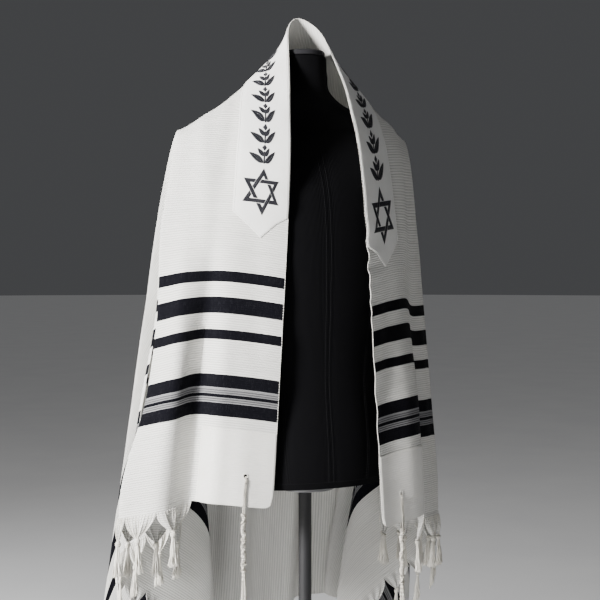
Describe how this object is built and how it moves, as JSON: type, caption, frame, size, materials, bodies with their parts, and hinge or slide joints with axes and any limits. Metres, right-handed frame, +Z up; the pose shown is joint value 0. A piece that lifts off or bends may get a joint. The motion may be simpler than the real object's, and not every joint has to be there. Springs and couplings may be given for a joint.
{
  "type": "prayer shawl on dress form",
  "caption": "Striped white prayer shawl draped over a limbless dress form on a round stand, with ornamented neckband, corner patches, knotted fringe and wound corner strings.",
  "frame": {"origin": "centre of the stand's flat underside, on the floor", "axes": "+Z up; the form faces -Y; +X is the viewer's right seen from the front"},
  "size_m": [0.7357, 0.4866, 1.7446],
  "materials": {
    "cloth": "matt ribbed wool with black stripes",
    "neckband": "fine ribbed satin with black embroidery",
    "patch": "fine satin weave",
    "fringe": "twisted wool yarn",
    "string": "tightly wound wool string",
    "form": "matt black jersey cover",
    "stand": "black satin paint"
  },
  "bodies": {
    "root": {"shawl_cloth": "cloth", "neckband": "neckband", "corner_patch_front_left": "patch", "corner_patch_front_right": "patch", "corner_patch_back_left": "patch", "corner_patch_back_right": "patch", "corner_tassel_front_left": "string", "corner_tassel_front_right": "string", "corner_tassel_back_left": "string", "corner_tassel_back_right": "string", "fringe_left": "fringe", "fringe_right": "fringe", "form_torso": "form", "neck_cap": "form", "stand_pole": "stand", "stand_base": "stand"}
  },
  "joints": []
}
